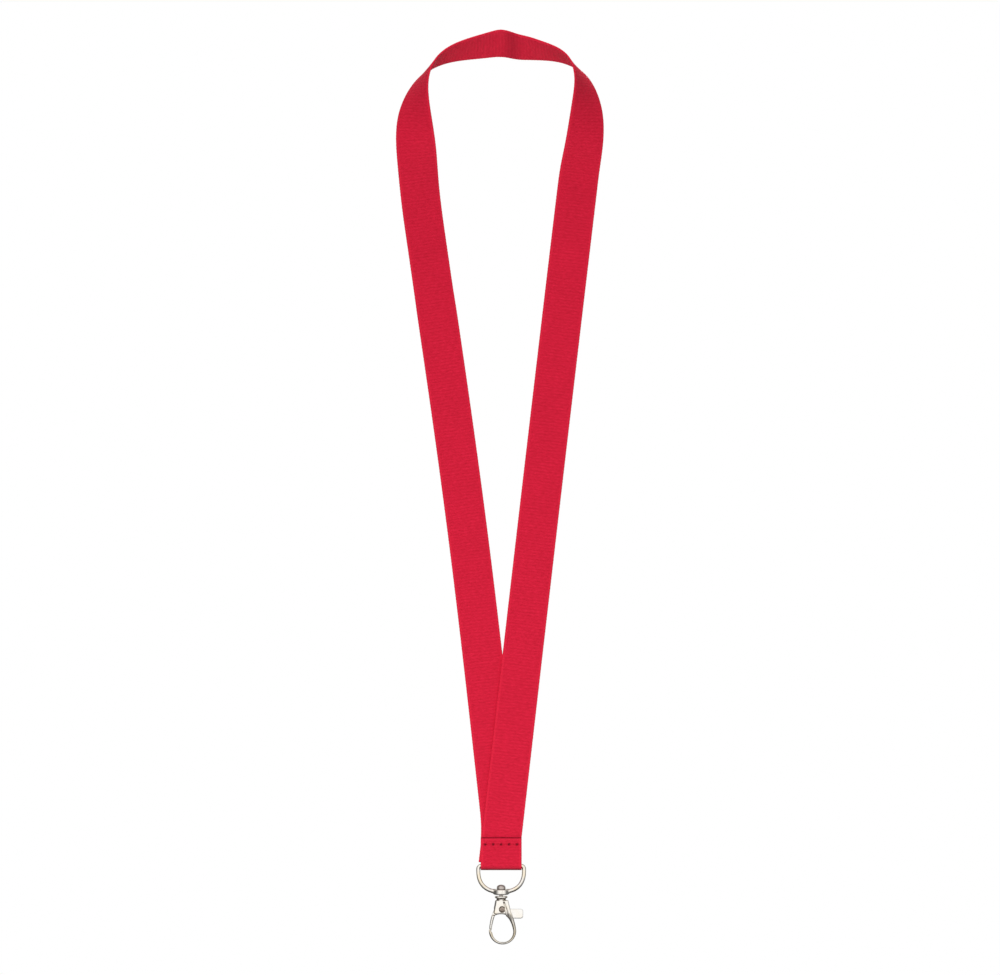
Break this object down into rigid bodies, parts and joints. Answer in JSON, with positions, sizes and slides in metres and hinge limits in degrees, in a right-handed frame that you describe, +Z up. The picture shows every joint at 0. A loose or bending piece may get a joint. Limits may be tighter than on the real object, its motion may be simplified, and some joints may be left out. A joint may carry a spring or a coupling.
{
  "type": "neck lanyard",
  "caption": "Flat woven neck strap sewn round a D-ring, with a swivelling trigger snap hook that holds a badge, pass or keys.",
  "frame": {"origin": "middle of the neck section of the strap, on the strap's centre line, where a neck or a peg holds it up", "axes": "+Z up along the hanging lanyard, +Y back towards the wearer, +X to the right as seen from the front"},
  "size_m": [0.104, 0.0272, 0.4569],
  "materials": {
    "webbing": "red woven polyester webbing with fine crosswise ribs",
    "thread": "dark red polyester sewing thread",
    "ring_nickel": "bright nickel plating on a zinc casting",
    "hook_nickel": "bright nickel plating, slightly warm, on a zinc casting",
    "gate_nickel": "satin nickel plating on a zinc casting",
    "rivet_steel": "plain steel, peened",
    "spring_steel": "drawn spring steel wire"
  },
  "bodies": {
    "strap": {"strap_webbing": "webbing", "needle_thread": "thread", "bobbin_thread": "thread"},
    "ring": {"d_ring": "ring_nickel"},
    "hook": {"swivel_rivet": "rivet_steel", "hook_body": "hook_nickel", "gate_rivet": "rivet_steel", "gate_spring": "spring_steel"},
    "gate": {"gate_lever": "gate_nickel"}
  },
  "joints": [
    {"name": "ring_swing", "type": "hinge", "parent": "strap", "child": "ring", "pos_m": [0.0002, 0, -0.4111], "axis": [1, 0, 0], "range_deg": [-120, 120]},
    {"name": "hook_swivel", "type": "hinge", "parent": "ring", "child": "hook", "pos_m": [0.0002, 0, -0.4242], "axis": [0, 0, 1], "continuous": true},
    {"name": "gate_open", "type": "hinge", "parent": "hook", "child": "gate", "pos_m": [0.0007, 0, -0.4329], "axis": [0, -1, 0], "range_deg": [0, 30], "stiffness_Nm_per_rad": 0.03, "springref_deg": -28.65, "deforming": ["gate_spring"]}
  ]
}
